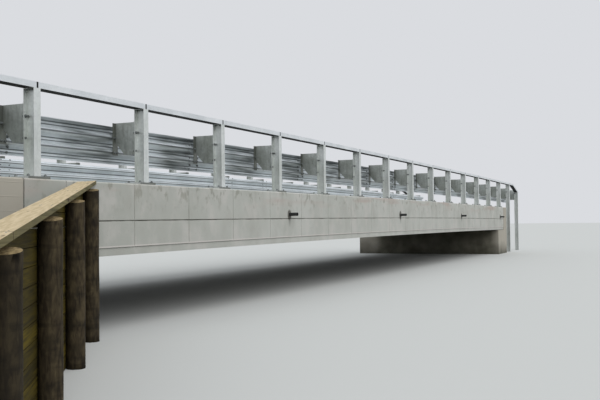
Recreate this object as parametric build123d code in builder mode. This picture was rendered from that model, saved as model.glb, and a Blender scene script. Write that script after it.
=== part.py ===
from build123d import *
import math
import os

# Road bridge: one cambered concrete span on two abutments, steel thrie-beam barriers
# with a flat top rail on both sides, and splayed timber wing walls at the left end.
# Millimetres. X runs along the bridge from mid-span, Y across it, Z up from the feet
# of the walls. The front is the side at -Y and the left end is the one at -X. The road
# falls from the front to the back, and all that stands on the back side is lower by it.

# Deck
deck_half_length = 13250
deck_half_width = 2550
camber_rise = 40
foot_to_kerb_top = 1850
kerb_depth = 470
edge_beam_depth = 424
kerb_width = 450
kerb_upstand = 200
crossfall = 0.031
edge_beam_width = 750
inner_beam_gap = 45
inner_beam_count = 3
band_height = 99
band_recess = 12
kerb_chamfer = 15
seam_chamfer = 12
soffit_chamfer = 20
slab_clearance = 0.01

# Panel joints in the fascia
panel_pitch = 1270
panel_shift = 100
joint_groove = 14

# Drain pipes, counted from the right end of the deck
drain_to_deck_end = 630
drain_pitch = 6460
drain_count = 4
drain_over_seam = 80
drain_radius = 30
drain_wall = 4
drain_projection = 160
drain_seat = 200

# Abutments; the right one runs on past the deck at the back
right_abutment_reach = 680
bearing_length = 1050
expansion_gap = 20
backwall_thickness = 630
pad_length = 300
pad_width = 400
pad_thickness = 30
pad_clearance = 0.02
pad_to_deck_end = 600

# Barrier posts
plated_posts = 14
end_posts = 2
post_to_deck_end = 250
post_setback = 50
post_depth = 150
post_flange = 104
flange_thickness = 8
web_thickness = 6
top_rail_seat = 993
base_plate_length = 330
base_plate_width = 260
base_plate_thickness = 25
base_plate_edge = 30
cap_plate_thickness = 8

# Blockouts
blockout_depth = 356
blockout_height = 430
blockout_foot = 405
notch_depth = 150
notch_height = 126

# Thrie-beam rails
rail_height = 506
rail_top = 790
rail_projection = 80
rail_sheet = 3
rail_bend_ease = 9
rail_wave_pitch = 194
rail_ridge_half = 15
rail_valley_half = 15
rail_lip = 8
rail_lip_depth = 12
bays_per_rail = 2
rail_lap = 320
rail_end_overhang = 300
lap_clearance = 0.4

# Flat top rail
top_rail_width = 150
top_rail_height = 67
top_rail_wall = 5
top_rail_gap = 12
top_rail_clearance = 0.05
bend_overhang = 850
low_end_seat = 735
low_end_overhang = 120

# Timber wing walls
wing_angle = 34.5
wing_past_abutment = 121
wing_bays = 3
wing_overhang = 540
wing_pole_pitch = 1745
pole_radius = 91
pole_setback = 42
pole_top_drop = 55
pole_top_slope = 0.2
board_thickness = 50
board_gap = 4
cap_width = 190
cap_thickness = 43
cap_height_over_kerb = 20
cap_joint_gap = 3
first_plank_bays = 3
wing_rake = 0.101
wing_clearance = 0.3

# The camber is an arc about a far axis across the bridge
camber_radius = (deck_half_length**2 + camber_rise**2) / (2 * camber_rise)
crown_height = foot_to_kerb_top + camber_rise
camber_axis = Axis((0, 0, crown_height - camber_radius), (0, 1, 0))
deck_arc = 2 * math.degrees(math.asin(deck_half_length / camber_radius))

kerb_inner = deck_half_width - kerb_width
beam_inner = deck_half_width - edge_beam_width
back_drop = 2 * kerb_inner * crossfall
back_kerb_top = foot_to_kerb_top - back_drop
slab_foot_slope = back_drop / (2 * beam_inner)
soffit_drop = kerb_depth + edge_beam_depth
inner_beam_room = 2 * (beam_inner * math.hypot(1, slab_foot_slope) - inner_beam_gap)
inner_beam_pitch = (inner_beam_room + inner_beam_gap) / inner_beam_count
inner_beam_width = inner_beam_pitch - inner_beam_gap
abutment_face = deck_half_length - bearing_length
pad_station = deck_half_length - pad_to_deck_end
wing_start = abutment_face - wing_past_abutment
last_plated = deck_half_length - post_to_deck_end
post_pitch = 2 * last_plated / (plated_posts - 1)
post_line = post_setback + post_depth / 2 - deck_half_width
blockout_face = post_depth / 2 + blockout_depth


def kerbTop(x):
    """Height of the kerb top line at a place along the bridge."""
    return crown_height - camber_radius + math.sqrt(camber_radius**2 - x**2)


def station(x, y=0, up=0):
    """Plane square to the camber, its X along the bridge and its origin on the kerb top line."""
    tilt = math.asin(x / camber_radius)
    normal = Vector(math.sin(tilt), 0, math.cos(tilt))
    along = Vector(math.cos(tilt), 0, -math.sin(tilt))
    return Plane(origin=Vector(x, y, kerbTop(x)) + normal * up, x_dir=along, z_dir=normal)


def chord(x_start, x_end, y=0, up=0):
    """Plane half-way along the straight line between two places, with its X along that line."""
    start = station(x_start, y, up).origin
    end = station(x_end, y, up).origin
    across = Vector(0, 1, 0)
    along = end - start
    return Plane(origin=(start + end) / 2, x_dir=along, z_dir=along.cross(across))


def toBack(piece):
    """The back side's copy of a front piece: mirrored, lower by the fall, cut at the feet."""
    with BuildPart() as back_piece:
        with Locations((0, 0, -back_drop)):
            add(mirror(piece.part, about=Plane.XZ, mode=Mode.PRIVATE))
        if back_piece.part.bounding_box().min.Z < 0:
            split(bisect_by=Plane.XY, keep=Keep.TOP)
    return back_piece


def save(piece, label):
    """Name a finished piece and write its file."""
    piece.part.label = label
    export_step(piece.part, f"parts/{label}.step")


os.makedirs("parts", exist_ok=True)

# Deck concrete: each section stands at the deck's left end and turns about the camber axis
deck_end = station(-deck_half_length)
deck_section = Plane(origin=deck_end.origin, x_dir=(0, 1, 0), z_dir=deck_end.x_dir)
panels_each_way = int((deck_half_length - panel_shift) // panel_pitch)
joint_stations = [
    panel_shift + panel_pitch * number
    for number in range(-panels_each_way, panels_each_way + 1)
]
joint_spots = [(x, -deck_half_width) for x in joint_stations]
last_drain = deck_half_length - drain_to_deck_end
drain_drop = kerb_depth - drain_over_seam
drain_stations = [last_drain - drain_pitch * number for number in range(drain_count)]

with BuildPart() as front_edge_beam:
    with BuildSketch(deck_section):
        with BuildLine():
            beam_face = -deck_half_width
            band_top = band_height - soffit_drop
            Polyline(
                (beam_face + seam_chamfer, -kerb_depth),
                (beam_face, -kerb_depth - seam_chamfer),
                (beam_face, band_top),
                (beam_face + band_recess, band_top),
                (beam_face + band_recess, -soffit_drop),
                (-beam_inner - soffit_chamfer, -soffit_drop),
                (-beam_inner, soffit_chamfer - soffit_drop),
                (-beam_inner, -kerb_depth),
                close=True,
            )
        make_face()
    revolve(axis=camber_axis, revolution_arc=deck_arc)
    with BuildSketch(Plane.XY):
        with Locations(*joint_spots):
            Rectangle(joint_groove, joint_groove, rotation=45)
    extrude(amount=crown_height, mode=Mode.SUBTRACT)
save(front_edge_beam, "front_edge_beam")
save(toBack(front_edge_beam), "back_edge_beam")

drain_seats = [
    Plane(origin=station(x, drain_seat - deck_half_width, -drain_drop).origin, z_dir=(0, -1, 0))
    for x in drain_stations
]

with BuildPart() as front_kerb:
    with BuildSketch(deck_section):
        with BuildLine():
            Polyline(
                (-deck_half_width + kerb_chamfer, 0),
                (-deck_half_width, -kerb_chamfer),
                (-deck_half_width, seam_chamfer - kerb_depth),
                (-deck_half_width + seam_chamfer, -kerb_depth),
                (-kerb_inner, -kerb_depth),
                (-kerb_inner, -kerb_chamfer),
                (-kerb_inner - kerb_chamfer, 0),
                close=True,
            )
        make_face()
    revolve(axis=camber_axis, revolution_arc=deck_arc)
    with BuildSketch(Plane.XY):
        with Locations(*joint_spots):
            Rectangle(joint_groove, joint_groove, rotation=45)
    extrude(amount=crown_height, mode=Mode.SUBTRACT)
    with BuildSketch(*drain_seats):
        Circle(drain_radius)
    extrude(amount=drain_seat, mode=Mode.SUBTRACT)
save(front_kerb, "front_kerb")
save(toBack(front_kerb), "back_kerb")

with BuildPart() as front_drain_pipes:
    with BuildSketch(*drain_seats):
        Circle(drain_radius)
        Circle(drain_radius - drain_wall, mode=Mode.SUBTRACT)
    extrude(amount=drain_seat + drain_projection)
save(front_drain_pipes, "front_drain_pipes")
save(toBack(front_drain_pipes), "back_drain_pipes")

with BuildPart() as deck_slab:
    with BuildSketch(deck_section):
        with BuildLine():
            slab_back_foot = slab_clearance - kerb_depth - back_drop
            Polyline(
                (-kerb_inner, -kerb_depth),
                (-beam_inner, -kerb_depth),
                (beam_inner, slab_back_foot),
                (kerb_inner, slab_back_foot),
                (kerb_inner, -kerb_upstand - back_drop),
                (-kerb_inner, -kerb_upstand),
                close=True,
            )
        make_face()
    revolve(axis=camber_axis, revolution_arc=deck_arc)
save(deck_slab, "deck_slab")

# The inner beams hang square to the slab's sloping underside
slab_foot_drop = kerb_depth + back_drop / 2
slab_foot_angle = math.degrees(math.atan(slab_foot_slope))
with BuildSketch() as inner_beam_section:
    Rectangle(inner_beam_width, edge_beam_depth, align=(Align.CENTER, Align.MAX))
    chamfer(inner_beam_section.vertices().group_by(Axis.Y)[0], soffit_chamfer)

with BuildPart() as inner_beams:
    with BuildSketch(deck_section):
        with Locations(Location((0, -slab_foot_drop), -slab_foot_angle)):
            with GridLocations(inner_beam_pitch, 0, inner_beam_count, 1):
                add(inner_beam_section.sketch)
    revolve(axis=camber_axis, revolution_arc=deck_arc)
save(inner_beams, "inner_beams")

# Abutments: a wall with a bearing seat that falls to the back, and a backwall up to the road
backwall_face = deck_half_length + expansion_gap
beam_line = deck_half_width - edge_beam_width / 2
seat_middle = kerbTop(pad_station) - soffit_drop - back_drop / 2 - pad_thickness
seat_slope = back_drop / (2 * beam_line)

for wall_start, reach, label in (
    (-backwall_face, 0, "left_abutment"),
    (abutment_face, right_abutment_reach, "right_abutment"),
):
    with BuildPart() as abutment:
        with BuildSketch(Plane.YZ.offset(wall_start)):
            with BuildLine():
                wall_back = deck_half_width + reach
                Polyline(
                    (-deck_half_width, 0),
                    (wall_back, 0),
                    (wall_back, seat_middle - seat_slope * wall_back),
                    (-deck_half_width, seat_middle + seat_slope * deck_half_width),
                    close=True,
                )
            make_face()
        extrude(amount=backwall_face - abutment_face)
        seat_arris = abutment.edges().sort_by_distance((0, 0, foot_to_kerb_top))[0]
        chamfer(seat_arris, soffit_chamfer)
    save(abutment, label)

with BuildPart() as left_backwall:
    with BuildSketch(Plane.YZ.offset(-backwall_face)):
        with BuildLine():
            Polyline(
                (-deck_half_width, 0),
                (deck_half_width, 0),
                (deck_half_width, back_kerb_top - kerb_chamfer),
                (deck_half_width - kerb_chamfer, back_kerb_top),
                (kerb_inner + kerb_chamfer, back_kerb_top),
                (kerb_inner, back_kerb_top - kerb_chamfer),
                (kerb_inner, back_kerb_top - kerb_upstand),
                (-kerb_inner, foot_to_kerb_top - kerb_upstand),
                (-kerb_inner, foot_to_kerb_top - kerb_chamfer),
                (-kerb_inner - kerb_chamfer, foot_to_kerb_top),
                (kerb_chamfer - deck_half_width, foot_to_kerb_top),
                (-deck_half_width, foot_to_kerb_top - kerb_chamfer),
                close=True,
            )
        make_face()
    extrude(amount=-backwall_thickness)
save(left_backwall, "left_backwall")

# Each pad fills the height between the seat and the beam over it
slab_foot = station(-pad_station, 0, -slab_foot_drop).rotated((-slab_foot_angle, 0, 0))
edge_beam_feet = [
    station(-pad_station, y, -soffit_drop - pad_clearance - drop)
    for y, drop in ((-beam_line, 0), (beam_line, back_drop))
]
seat = Plane(origin=(-pad_station, 0, seat_middle), x_dir=(1, 0, 0), z_dir=(0, seat_slope, 1))
with BuildPart() as left_bearing_pads:
    with BuildSketch(*edge_beam_feet):
        Rectangle(pad_length, pad_width)
    with BuildSketch(slab_foot.offset(-edge_beam_depth - pad_clearance)):
        with GridLocations(0, inner_beam_pitch, 1, inner_beam_count):
            Rectangle(pad_length, pad_width)
    extrude(amount=-2 * pad_thickness)
    split(bisect_by=seat, keep=Keep.TOP)
save(left_bearing_pads, "left_bearing_pads")

for pattern, name in ((left_backwall, "backwall"), (left_bearing_pads, "bearing_pads")):
    with BuildPart() as right_piece:
        mirror(pattern.part, about=Plane.YZ)
    save(right_piece, f"right_{name}")

# Barrier posts: the ones on the deck stand on base plates, the end ones go into the ground
plated_stations = [post_pitch * number - last_plated for number in range(plated_posts)]
end_stations = [last_plated + post_pitch * (number + 1) for number in range(end_posts)]
last_post = end_stations[-1]
post_stations = [-x for x in reversed(end_stations)] + plated_stations + end_stations
low_end_run = last_post - end_stations[-2] - bend_overhang
low_end_slope = (top_rail_seat - low_end_seat) / low_end_run


def postSection():
    """I section of a post in the plane of the open sketch."""
    Rectangle(post_flange, post_depth)
    with GridLocations(post_flange + web_thickness, 0, 2, 1):
        Rectangle(post_flange, post_depth - 2 * flange_thickness, mode=Mode.SUBTRACT)


with BuildPart() as plated_post:
    with BuildSketch(Plane.XY):
        postSection()
    extrude(amount=top_rail_seat)
    with BuildSketch(Plane.XY):
        with Locations((0, base_plate_width / 2 - base_plate_edge - post_depth / 2)):
            Rectangle(base_plate_length, base_plate_width)
    extrude(amount=base_plate_thickness)
    with BuildSketch(Plane.XY.offset(top_rail_seat)):
        Rectangle(post_flange, post_depth)
    extrude(amount=-cap_plate_thickness)

with BuildPart() as front_barrier_posts:
    with Locations(*[station(x, post_line).location for x in plated_stations]):
        add(plated_post.part)
save(front_barrier_posts, "front_barrier_posts")
save(toBack(front_barrier_posts), "back_barrier_posts")

with BuildPart() as front_right_end_posts:
    with BuildSketch(Plane.XY):
        with Locations(*[(x, post_line) for x in end_stations]):
            postSection()
    extrude(amount=crown_height + top_rail_seat)
    level_seat = station(end_stations[0], post_line, top_rail_seat)
    split(bisect_by=level_seat, keep=Keep.BOTTOM)
    with BuildSketch(level_seat):
        Rectangle(post_flange, post_depth)
    extrude(amount=-cap_plate_thickness)
    bend_point = station(end_stations[0] + bend_overhang, post_line, top_rail_seat)
    down_slope = bend_point.x_dir - bend_point.z_dir * low_end_slope
    low_seat = Plane(origin=bend_point.origin, x_dir=down_slope, z_dir=down_slope.cross(Vector(0, 1, 0)))
    split(bisect_by=low_seat, keep=Keep.BOTTOM)
save(front_right_end_posts, "front_right_end_posts")

# Blockouts: deep I sections with a corner of the web cut away below, on the road side
with BuildPart() as blockout:
    with BuildSketch(Plane.XY.offset(blockout_foot)):
        with Locations((0, post_depth / 2 + blockout_depth / 2)):
            Rectangle(post_flange, blockout_depth)
            with GridLocations(post_flange + web_thickness, 0, 2, 1):
                Rectangle(post_flange, blockout_depth - 2 * flange_thickness, mode=Mode.SUBTRACT)
    extrude(amount=blockout_height)
    with BuildSketch(Plane.YZ):
        with BuildLine():
            web_end = blockout_face - flange_thickness
            Polyline(
                (web_end, blockout_foot),
                (web_end, blockout_foot + notch_height),
                (web_end - notch_depth, blockout_foot),
                close=True,
            )
        make_face()
    extrude(amount=web_thickness, both=True, mode=Mode.SUBTRACT)

with BuildPart() as front_blockouts:
    with Locations(*[station(x, post_line).location for x in post_stations]):
        add(blockout.part)
save(front_blockouts, "front_blockouts")
save(toBack(front_blockouts), "back_blockouts")


# Thrie-beam rails: one bent sheet with three ridges towards the road, whose bends are
# eased by one flat each. Every second rail lies over its neighbours at the laps, far
# enough out for the steep sides to nest.
def railBends():
    """Places (depth, height) of the bends in the back of the sheet, from the foot up."""
    edge = rail_height / 2
    ridge_foot = rail_wave_pitch - rail_ridge_half
    valley_top = rail_wave_pitch / 2 + rail_valley_half
    valley_foot = rail_wave_pitch / 2 - rail_valley_half
    upper = [
        (rail_projection, rail_ridge_half),
        (0, valley_foot),
        (0, valley_top),
        (rail_projection, ridge_foot),
        (rail_projection, ridge_foot + 2 * rail_ridge_half),
        (rail_lip_depth, edge - rail_lip),
        (rail_lip_depth, edge),
    ]
    lower = [(depth, -height) for depth, height in reversed(upper)]
    return lower + upper


def thrieRail(length):
    """A rail of this length along X, its back in the plane Y = 0."""
    with BuildPart() as rail:
        with BuildSketch(Plane.YZ) as sheet:
            with BuildLine():
                Polyline(*railBends())
                offset(amount=rail_sheet, kind=Kind.INTERSECTION, side=Side.RIGHT)
            make_face()
            corners = sheet.vertices().sort_by(Axis.Y)
            chamfer(corners[lip_corners:-lip_corners], rail_bend_ease)
        extrude(amount=length / 2, both=True)
    return rail.part


lip_corners = 4
lip_run = rail_height / 2 - rail_lip - rail_wave_pitch - rail_ridge_half
lip_rise = rail_projection - rail_lip_depth
lap_offset = (rail_sheet + lap_clearance) * math.hypot(lip_run, lip_rise) / lip_run
rail_run = bays_per_rail * post_pitch
splices = [last_post - rail_run * number for number in range(int(last_post // rail_run) + 1)]
splices = [-x for x in splices] + list(reversed(splices))
rail_centre = rail_top - rail_height / 2
front_rails = []
for number, (x_start, x_end) in enumerate(zip(splices[:-1], splices[1:])):
    layer = number % 2
    from_end = rail_end_overhang if number == 0 else rail_lap / 2
    to_end = rail_end_overhang if x_end == last_post else rail_lap / 2
    middle = chord(x_start, x_end, post_line + blockout_face + layer * lap_offset, rail_centre)
    length = (station(x_end).origin - station(x_start).origin).length + from_end + to_end
    shift = Location(((to_end - from_end) / 2, 0, 0))
    front_rails.append(middle.location * shift * thrieRail(length))

with BuildPart() as front_thrie_rails:
    add(front_rails)
save(front_thrie_rails, "front_thrie_rails")
save(toBack(front_thrie_rails), "back_thrie_rails")


# Flat top rail: a hollow section on the posts, one length to a bay, bent down at each end
def hollowSection():
    """Hollow section of the top rail in the plane of the open sketch."""
    Rectangle(top_rail_width, top_rail_height)
    Rectangle(
        top_rail_width - 2 * top_rail_wall,
        top_rail_height - 2 * top_rail_wall,
        mode=Mode.SUBTRACT,
    )


with BuildPart() as bay_rail:
    with BuildSketch(Plane.YZ):
        hollowSection()
    extrude(amount=(post_pitch - top_rail_gap) / 2, both=True)

level_stations = post_stations[1:-1]
rail_lift = top_rail_clearance + top_rail_height / 2
top_rail_centre = top_rail_seat + rail_lift
with BuildPart() as front_top_rails:
    with Locations(*[
        chord(x_start, x_end, post_line, top_rail_centre).location
        for x_start, x_end in zip(level_stations[:-1], level_stations[1:])
    ]):
        add(bay_rail.part)
save(front_top_rails, "front_top_rails")
save(toBack(front_top_rails), "back_top_rails")

with BuildPart() as front_right_rail_end:
    with BuildLine() as end_path:
        rail_start = station(end_stations[0] + top_rail_gap / 2, post_line, top_rail_centre)
        normals = bend_point.z_dir + low_seat.z_dir
        bend = bend_point.origin + normals * (2 * rail_lift / normals.dot(normals))
        foot_run = low_end_run + low_end_overhang
        Polyline(rail_start.origin, bend, bend + down_slope * foot_run)
    with BuildSketch(Plane(origin=rail_start.origin, x_dir=(0, 1, 0), z_dir=end_path.line % 0)):
        hollowSection()
    sweep(transition=Transition.RIGHT)
save(front_right_rail_end, "front_right_rail_end")

for pattern, name in ((front_right_end_posts, "end_posts"), (front_right_rail_end, "rail_end")):
    with BuildPart() as front_left_piece:
        mirror(pattern.part, about=Plane.YZ)
    save(front_left_piece, f"front_left_{name}")
    save(toBack(pattern), f"back_right_{name}")
    save(toBack(front_left_piece), f"back_left_{name}")

# Wing walls: round poles in front of board panels, under a raking cap plank. The front
# left wall is made in a plane that runs out along it, with +Y towards the river.
splay = math.radians(wing_angle)
wing = Plane(
    origin=(-wing_start, -deck_half_width, 0),
    x_dir=(-math.cos(splay), -math.sin(splay), 0),
    z_dir=(0, 0, 1),
)
deck_face = Plane.XZ.offset(deck_half_width + wing_clearance)
pole_off_deck = pole_radius + wing_clearance + pole_setback * math.cos(splay)
first_pole = pole_off_deck / math.sin(splay)
pole_runs = [first_pole + wing_pole_pitch * number for number in range(wing_bays + 1)]
wing_end = pole_runs[-1] + wing_overhang
pole_back = pole_setback + pole_radius
cap_underside = foot_to_kerb_top + cap_height_over_kerb - cap_thickness


def capFoot(run):
    """Height of the cap plank's underside at a run along the wing wall."""
    return cap_underside - wing_rake * run


def elevation(setback):
    """Upright plane along the wing wall, set back from the plank's front edge."""
    origin = wing.from_local_coords((0, -setback, 0))
    return Plane(origin=origin, x_dir=wing.x_dir, z_dir=-wing.y_dir)


poles = []
for run in pole_runs:
    with BuildPart() as pole:
        with BuildSketch(wing):
            with Locations((run, -pole_setback)):
                Circle(pole_radius)
        extrude(amount=foot_to_kerb_top)
        top_centre = wing.from_local_coords((run, -pole_setback, capFoot(run) - pole_top_drop))
        top_normal = wing.z_dir + wing.x_dir * pole_top_slope
        split(bisect_by=Plane(origin=top_centre, z_dir=top_normal), keep=Keep.BOTTOM)
    poles.append(pole.part)

with BuildPart() as wing_poles:
    add(poles)

panels = []
for number, (run_start, run_end) in enumerate(zip(pole_runs[:-1], pole_runs[1:])):
    with BuildPart() as panel:
        with BuildSketch(elevation(pole_back)):
            with BuildLine():
                left_run = 0 if number == 0 else run_start + board_gap / 2
                right_run = wing_end if run_end == pole_runs[-1] else run_end - board_gap / 2
                Polyline(
                    (left_run, 0),
                    (right_run, 0),
                    (right_run, capFoot(right_run)),
                    (left_run, capFoot(left_run)),
                    close=True,
                )
            make_face()
        extrude(amount=board_thickness)
        split(bisect_by=deck_face, keep=Keep.TOP)
    panels.append(panel.part)

with BuildPart() as wing_boards:
    add(panels)

joint_run = pole_runs[first_plank_bays]
planks = []
for left_run, right_run in ((0, joint_run - cap_joint_gap), (joint_run, wing_end)):
    with BuildPart() as plank:
        with BuildSketch(elevation(0)):
            with BuildLine():
                Polyline(
                    (left_run, capFoot(left_run)),
                    (right_run, capFoot(right_run)),
                    (right_run, capFoot(right_run) + cap_thickness),
                    (left_run, capFoot(left_run) + cap_thickness),
                    close=True,
                )
            make_face()
        extrude(amount=cap_width)
        split(bisect_by=deck_face, keep=Keep.TOP)
    planks.append(plank.part)

with BuildPart() as wing_cap:
    add(planks)

for pattern, name in ((wing_poles, "poles"), (wing_boards, "boards"), (wing_cap, "cap")):
    save(pattern, f"front_left_wing_{name}")
    save(toBack(pattern), f"back_left_wing_{name}")
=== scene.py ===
import math

import bmesh
import bpy
from mathutils import Matrix, Vector, noise


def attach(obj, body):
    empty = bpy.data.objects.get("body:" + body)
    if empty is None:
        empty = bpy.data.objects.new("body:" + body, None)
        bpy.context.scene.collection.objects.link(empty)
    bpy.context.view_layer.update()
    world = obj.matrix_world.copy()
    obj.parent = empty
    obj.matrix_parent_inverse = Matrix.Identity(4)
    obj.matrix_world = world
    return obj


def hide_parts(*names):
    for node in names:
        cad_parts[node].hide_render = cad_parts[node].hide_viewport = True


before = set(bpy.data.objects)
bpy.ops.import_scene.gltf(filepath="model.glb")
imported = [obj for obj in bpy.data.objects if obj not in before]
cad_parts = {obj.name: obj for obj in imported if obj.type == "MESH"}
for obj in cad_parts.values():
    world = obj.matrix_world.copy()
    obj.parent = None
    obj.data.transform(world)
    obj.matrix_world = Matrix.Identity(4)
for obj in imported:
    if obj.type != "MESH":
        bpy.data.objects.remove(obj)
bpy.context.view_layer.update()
scene = bpy.context.scene

# Places of the bridge in metres, as in the part's source; the back side lies lower by backDrop
bridge = {
    "deckHalfLength": 13.25,
    "deckHalfWidth": 2.55,
    "camberRise": 0.04,
    "kerbTop": 1.85,
    "backDrop": 0.1302,
    "seamDrop": 0.47,
    "bandDrop": 0.795,
    "panelPitch": 1.27,
    "panelShift": 0.1,
    "postLine": -2.425,
    "postPitch": 2.0,
    "platedPosts": 14,
    "endPosts": 2,
    "railCentre": 0.537,  # over the kerb top
    "wavePitch": 0.194,
    "railSheet": 0.003,
}
camberRadius = (bridge["deckHalfLength"] ** 2 + bridge["camberRise"] ** 2) / (2 * bridge["camberRise"])
crown = bridge["kerbTop"] + bridge["camberRise"]
lastPost = bridge["postPitch"] * ((bridge["platedPosts"] - 1) / 2 + bridge["endPosts"])
postCount = bridge["platedPosts"] + 2 * bridge["endPosts"]
postStations = [bridge["postPitch"] * number - lastPost for number in range(postCount)]
platedStations = postStations[bridge["endPosts"]:-bridge["endPosts"]]


def kerbTopAt(x):
    return crown - camberRadius + math.sqrt(camberRadius ** 2 - x ** 2)


def station(x, y, up):  # frame square to the camber, its Z up from the kerb top line
    tilt = math.asin(x / camberRadius)
    place = Vector((x, y, kerbTopAt(x))) + Vector((math.sin(tilt), 0, math.cos(tilt))) * up
    return Matrix.Translation(place) @ Matrix.Rotation(tilt, 4, "Y")


def hexColour(code):  # sRGB hex to the linear colour that the shaders want
    def linear(part):
        value = int(part, 16) / 255
        return value / 12.92 if value <= 0.04045 else ((value + 0.055) / 1.055) ** 2.4

    return (linear(code[1:3]), linear(code[3:5]), linear(code[5:7]), 1.0)


def feed(tree, node, settings):  # by attribute or socket; a node as a value links its first output
    for name, value in settings.items():
        if isinstance(value, bpy.types.Node):
            value = next(output for output in value.outputs if output.enabled)
        if isinstance(value, bpy.types.NodeSocket):
            tree.links.new(value, node.inputs[name])
        elif isinstance(name, str) and hasattr(node, name):
            setattr(node, name, value)
        else:
            node.inputs[name].default_value = value


def addNode(tree, kind, settings):
    node = tree.nodes.new("ShaderNode" + kind)
    feed(tree, node, settings)
    return node


def layColours(tree, look, colour, layers):  # layer: colour, value, where it starts and ends, its most
    for name, value, start, end, most in layers:
        share = addNode(tree, "MapRange", {
            "Value": value, "From Min": start, "From Max": end, "To Max": most})
        colour = addNode(tree, "Mix", {"data_type": "RGBA", 0: share, 6: colour, 7: hexColour(look[name])})
    return colour


def perMetre(sizes):  # sizes of a pattern in millimetres to its scale
    return [1000 / size for size in sizes]


def newMaterial(name):
    material = bpy.data.materials.new(name)
    material.use_nodes = True
    return material, material.node_tree, material.node_tree.nodes["Principled BSDF"]


def dress(material, *names):
    for name in names:
        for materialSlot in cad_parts[name].material_slots:
            materialSlot.material = material


# Camera, solved from the photograph
print("camera")
cameraView = {
    "place": (-19.768, -8.756, 1.353),  # metres, eye height over the foot of the walls
    "yaw": 65.246,  # degrees from +Y towards +X
    "pitch": 1.549,
    "roll": -0.634,
    "focal": 807.58,  # pixels in a picture as wide as pictureWidth
    "pictureWidth": 600,
    "sensorWidth": 36,
    "farthest": 500,
}
yaw, pitch, roll = (math.radians(cameraView[key]) for key in ("yaw", "pitch", "roll"))
forward = Vector((math.sin(yaw) * math.cos(pitch), math.cos(yaw) * math.cos(pitch), math.sin(pitch)))
level = Vector((math.cos(yaw), -math.sin(yaw), 0))
upright = level.cross(forward)
sideways = level * math.cos(roll) + upright * math.sin(roll)
upward = upright * math.cos(roll) - level * math.sin(roll)
cameraData = bpy.data.cameras.new("camera")
cameraData.sensor_width = cameraView["sensorWidth"]
cameraData.lens = cameraView["focal"] * cameraView["sensorWidth"] / cameraView["pictureWidth"]
cameraData.clip_end = cameraView["farthest"]
camera = bpy.data.objects.new("camera", cameraData)
camera.matrix_world = Matrix((
    (sideways.x, upward.x, -forward.x, cameraView["place"][0]),
    (sideways.y, upward.y, -forward.y, cameraView["place"][1]),
    (sideways.z, upward.z, -forward.z, cameraView["place"][2]),
    (0, 0, 0, 1),
))
scene.collection.objects.link(camera)
scene.camera = camera

# Floor and overcast light: rays that light the object find a dark floor, the picture a pale one
print("floor and light")
studio = {
    "floorSize": 260,
    "floorShown": "#CFD0CD",
    "floorBounce": "#5C5C56",
    "skyGlow": "#E2E6EB",
    "glowStrength": 0.85,
    "skyShown": "#DADCE0",
    "sunStrength": 1.55,
    "sunAngle": 60,
    "sunTurn": (48, 0, -24),
}


def seenRays(tree):  # 1 for rays from the camera, mirrored or sent through
    ray = addNode(tree, "LightPath", {}).outputs
    seen = addNode(tree, "Math", {
        "operation": "MAXIMUM", 0: ray["Is Camera Ray"], 1: ray["Is Glossy Ray"]})
    return addNode(tree, "Math", {"operation": "MAXIMUM", 0: seen, 1: ray["Is Transmission Ray"]})


floorMesh = bmesh.new()
bmesh.ops.create_grid(floorMesh, x_segments=1, y_segments=1, size=studio["floorSize"])
floorData = bpy.data.meshes.new("floor")
floorMesh.to_mesh(floorData)
floorMesh.free()
floor = bpy.data.objects.new("floor", floorData)
scene.collection.objects.link(floor)
floorPaint = bpy.data.materials.new("floorPaint")
floorPaint.use_nodes = True
tree = floorPaint.node_tree
tree.nodes.clear()
floorMix = addNode(tree, "MixShader", {
    0: seenRays(tree),
    1: addNode(tree, "BsdfDiffuse", {"Color": hexColour(studio["floorBounce"])}),
    2: addNode(tree, "BsdfDiffuse", {"Color": hexColour(studio["floorShown"])})})
addNode(tree, "OutputMaterial", {"Surface": floorMix})
floorData.materials.append(floorPaint)

world = bpy.data.worlds.new("sky")
scene.world = world
world.use_nodes = True
tree = world.node_tree
tree.nodes.clear()
skyMix = addNode(tree, "MixShader", {
    0: seenRays(tree),
    1: addNode(tree, "Background", {
        "Color": hexColour(studio["skyGlow"]), "Strength": studio["glowStrength"]}),
    2: addNode(tree, "Background", {"Color": hexColour(studio["skyShown"]), "Strength": 1.0})})
addNode(tree, "OutputWorld", {"Surface": skyMix})

sunData = bpy.data.lights.new("softSun", "SUN")
sunData.energy = studio["sunStrength"]
sunData.angle = math.radians(studio["sunAngle"])
sun = bpy.data.objects.new("softSun", sunData)
sun.rotation_euler = [math.radians(turn) for turn in studio["sunTurn"]]
scene.collection.objects.link(sun)

# Cast concrete of the fascia: flat and pale, with cloudy patches of the form face, a few water
# marks and scuffs under the top arris, dirt in the panel joints and the seam, a painted highlight
# above the band, and round the drains stain with painted shade.
# Sizes of patterns are in millimetres here and below, places in metres
print("concrete")
fasciaLook = {
    "pale": "#C2C3BC",
    "firstPanels": "#B1B2AA",
    "cloud": "#B4B5AD",
    "milky": "#CECAC4",
    "damp": "#A9A69E",
    "stain": "#8B8A7D",
    "joint": "#4A473E",
    "edge": "#D8D2CC",
    "salt": "#B9A79D",
    "clouds": 900,
    "mottle": (303, 303, 385),
    "streak": (125, 125, 1250),
    "scuff": (100, 100, 154),
    "saltPatch": (2000, 2000, 250),
    "dirt": 333.3,
    "lineFade": (0.0112, 0.0048),  # metres from the middle of a joint
    "grain": 6,  # real sand grain is finer; drawn coarser to show
    "bubbles": 60,
    "drainPitch": 6.46,
    "lastDrain": 12.62,
    "drainDrop": 0.4,
    "drainRing": (0.085, 0.095),
    "drainsFrom": -10.0,
}


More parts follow.
